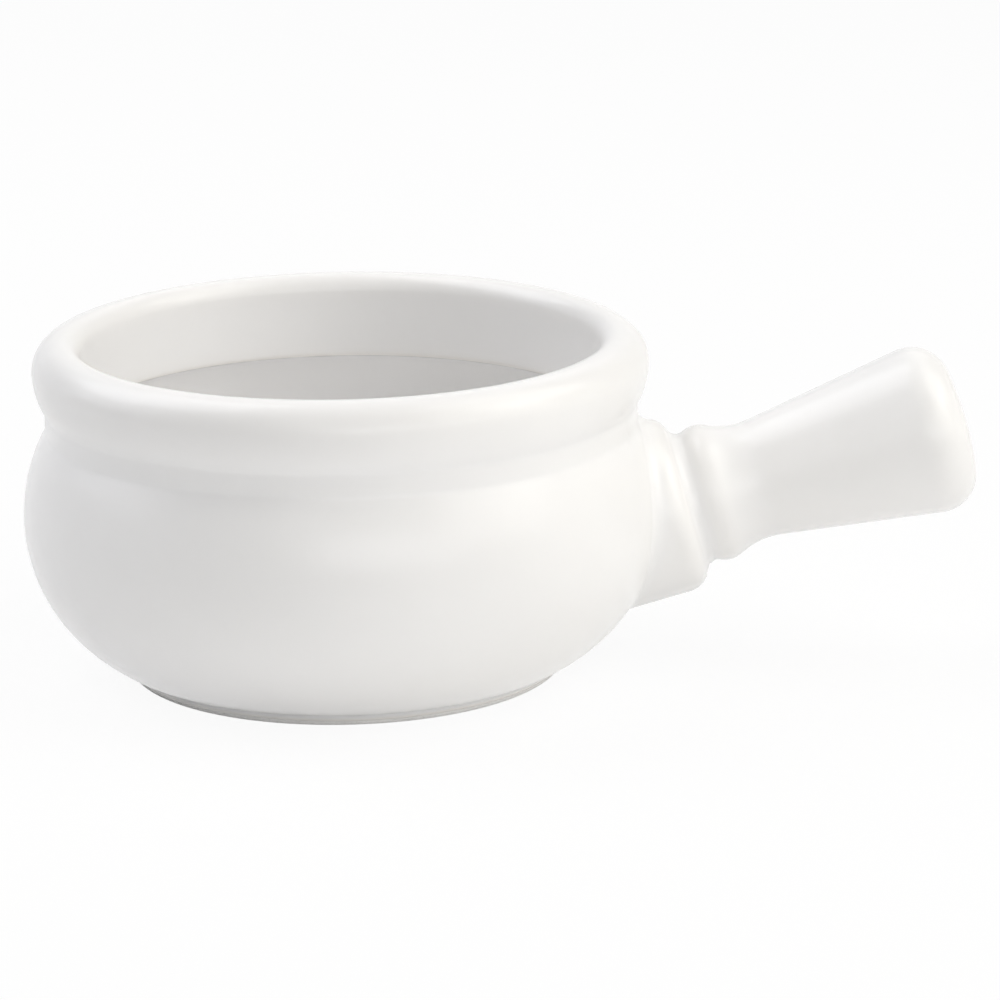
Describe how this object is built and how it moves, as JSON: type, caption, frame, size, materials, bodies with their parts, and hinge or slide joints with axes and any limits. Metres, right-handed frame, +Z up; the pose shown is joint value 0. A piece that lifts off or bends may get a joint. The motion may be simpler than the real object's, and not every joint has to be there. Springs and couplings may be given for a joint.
{
  "type": "onion soup crock",
  "caption": "Round-bellied stoneware soup crock with a rolled rim, a flat foot ring and one hollow flared stick handle.",
  "frame": {"origin": "centre of the foot ring, on the surface that the crock stands on", "axes": "+X along the handle, away from the bowl; +Z up, out of the mouth; the XZ plane is the plane of symmetry"},
  "size_m": [0.1867, 0.125, 0.0665],
  "materials": {
    "fired_clay": "bare fired stoneware, fine and matt, seen only on the bottom of the foot ring and in the vent",
    "joint_slip": "fired slip, hidden in the joint",
    "white_glaze": "smooth glossy white glaze with slight waviness"
  },
  "bodies": {
    "root": {"bowl_body": "fired_clay", "handle_body": "fired_clay", "luting_slip": "joint_slip", "joint_fillet": "white_glaze", "glaze_outside": "white_glaze", "glaze_inside": "white_glaze", "glaze_handle": "white_glaze", "glaze_base": "white_glaze"}
  },
  "joints": []
}
